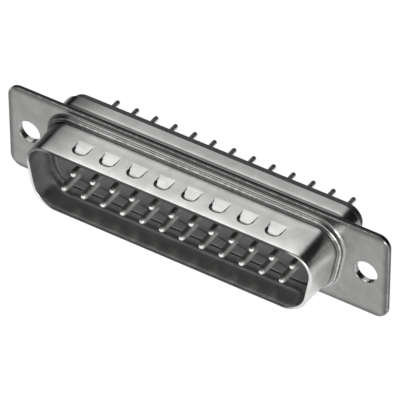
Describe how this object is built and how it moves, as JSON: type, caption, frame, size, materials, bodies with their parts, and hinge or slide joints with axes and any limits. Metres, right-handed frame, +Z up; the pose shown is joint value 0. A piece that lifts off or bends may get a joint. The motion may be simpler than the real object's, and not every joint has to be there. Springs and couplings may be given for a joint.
{
  "type": "d-sub connector",
  "caption": "Male D-sub connector with a flanged metal shell, dimpled D-shaped nose, black insulators, round mating pins and straight board tails.",
  "frame": {"origin": "centre of the flange's front face, midway between the two screw holes", "axes": "+X to the right along the flange when facing the mating side, mating side towards -Y, +Z up with the wide side of the D up"},
  "size_m": [0.053, 0.0152, 0.0124],
  "materials": {
    "plated_steel": "satin tin or nickel plate on drawn steel sheet",
    "insulator_plastic": "matt black moulded thermoplastic",
    "contact_metal": "bright tin plate on turned contacts"
  },
  "bodies": {
    "root": {"front_shell": "plated_steel", "rear_shell": "plated_steel", "front_insulator": "insulator_plastic", "rear_insulator": "insulator_plastic", "contact_01": "contact_metal", "contact_02": "contact_metal", "contact_03": "contact_metal", "contact_04": "contact_metal", "contact_05": "contact_metal", "contact_06": "contact_metal", "contact_07": "contact_metal", "contact_08": "contact_metal", "contact_09": "contact_metal", "contact_10": "contact_metal", "contact_11": "contact_metal", "contact_12": "contact_metal", "contact_13": "contact_metal", "contact_14": "contact_metal", "contact_15": "contact_metal", "contact_16": "contact_metal", "contact_17": "contact_metal", "contact_18": "contact_metal", "contact_19": "contact_metal", "contact_20": "contact_metal", "contact_21": "contact_metal", "contact_22": "contact_metal", "contact_23": "contact_metal", "contact_24": "contact_metal", "contact_25": "contact_metal"}
  },
  "joints": []
}
